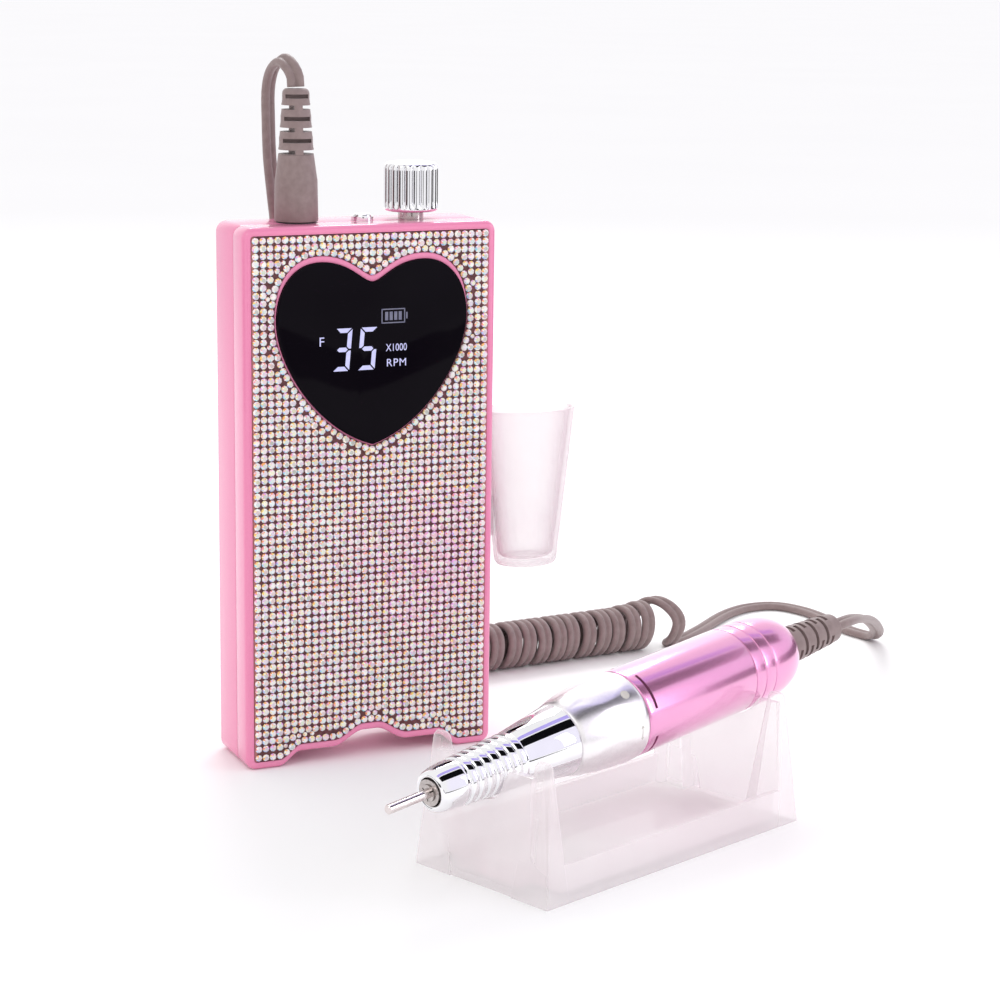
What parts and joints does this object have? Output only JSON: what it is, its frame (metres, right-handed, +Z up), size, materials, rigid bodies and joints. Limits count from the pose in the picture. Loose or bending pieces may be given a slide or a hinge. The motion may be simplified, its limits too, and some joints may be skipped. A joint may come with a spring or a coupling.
{
  "type": "electric nail drill",
  "caption": "Portable nail drill: control unit with heart display and stone-set front, twist-lock handpiece on a clear cradle, clear clip-on cup and coiled cord.",
  "frame": {"origin": "on the table, in the middle of the set's footprint without its cord", "axes": "+Z up, +X to the right of someone facing the display, -Y towards them"},
  "size_m": [0.2424, 0.2294, 0.1941],
  "materials": {
    "shell_pink": "glossy pearl pink moulded plastic",
    "crystals": "flat-backed cut glass stones with an iridescent coat",
    "lens_black": "gloss black display window",
    "board": "solder-masked circuit board",
    "dark_plastic": "matt black moulded plastic",
    "battery": null,
    "chrome": "mirror polished plating",
    "steel": "turned steel",
    "silver": "satin silver anodised",
    "grip_pink": "anodised metallic pink",
    "copper": "copper alloy",
    "clear": "clear acrylic, faintly pink",
    "taupe": "matt taupe soft plastic"
  },
  "bodies": {
    "console": {"front_shell": "shell_pink", "rear_shell": "shell_pink", "stone_panel": "crystals", "display_bezel": "shell_pink", "display_lens": "lens_black", "display_module": "dark_plastic", "main_board": "board", "control_board": "board", "battery_left": "battery", "battery_right": "battery", "battery_tray": "dark_plastic", "charge_port": "steel", "jack_socket": "dark_plastic", "jack_collar": "dark_plastic", "button_collar": "chrome", "button_switch": "dark_plastic", "pot_body": "dark_plastic", "pot_bushing": "steel", "pot_nut": "steel", "case_screws": "steel", "cup_rail": "shell_pink", "cradle": "clear", "plug_lead": "taupe", "cord_coil": "taupe", "handpiece_lead": "taupe"},
    "knob": {"speed_knob": "chrome", "pot_shaft": "steel"},
    "button": {"power_button": "chrome"},
    "cup": {"cup_holder": "clear"},
    "plug": {"plug_body": "taupe", "plug_boot": "taupe", "plug_pin": "chrome"},
    "handpiece": {"nose_cone": "chrome", "spindle_housing": "steel", "mount_ring": "silver", "bearing_front": "steel", "bearing_rear": "steel", "handpiece_housing": "grip_pink", "rear_cap": "grip_pink", "motor_can": "steel", "motor_magnets": "dark_plastic", "motor_brushes": "copper", "motor_end_cap": "dark_plastic", "handpiece_relief": "taupe"},
    "sleeve": {"lock_sleeve": "silver", "cam_ring": "steel"},
    "spindle": {"spindle": "steel", "drive_coupling": "dark_plastic", "rotor": "copper", "rotor_shaft": "steel", "commutator": "copper", "collet_spring": "steel"},
    "collet": {"collet": "steel"},
    "bit": {"bit_pin": "steel"}
  },
  "joints": [
    {"name": "knob_turn", "type": "hinge", "parent": "console", "child": "knob", "pos_m": [-0.021, 0.063, 0.158], "axis": [0, 0, 1], "range_deg": [0, 300]},
    {"name": "button_press", "type": "slide", "parent": "console", "child": "button", "axis": [0, 0, -1], "range_m": [0, 0.0006], "stiffness_N_per_m": 400},
    {"name": "cup_lift", "type": "slide", "parent": "console", "child": "cup", "axis": [0, 0, 1], "range_m": [0, 0.014]},
    {"name": "plug_pull", "type": "slide", "parent": "console", "child": "plug", "axis": [0, 0, 1], "range_m": [0, 0.014], "deforming": ["plug_lead"]},
    {"name": "handpiece_lift", "type": "slide", "parent": "console", "child": "handpiece", "axis": [0, 0, 1], "range_m": [0, 0.05], "deforming": ["handpiece_lead"]},
    {"name": "sleeve_twist", "type": "hinge", "parent": "handpiece", "child": "sleeve", "pos_m": [-0.01497, -0.04019, 0.03221], "axis": [0.9323, 0.3523, 0.0819], "range_deg": [0, 60]},
    {"name": "spindle_spin", "type": "hinge", "parent": "handpiece", "child": "spindle", "pos_m": [-0.03827, -0.04899, 0.03016], "axis": [0.9323, 0.3523, 0.0819], "continuous": true},
    {"name": "collet_open", "type": "slide", "parent": "spindle", "child": "collet", "axis": [-0.9323, -0.3523, -0.0819], "range_m": [0, 0.0008]},
    {"name": "bit_pull", "type": "slide", "parent": "collet", "child": "bit", "axis": [-0.9323, -0.3523, -0.0819], "range_m": [0, 0.02]}
  ],
  "couplings": [
    {"joint": "collet_open", "follows": "sleeve_twist", "m_per_rad": 0.00076}
  ]
}
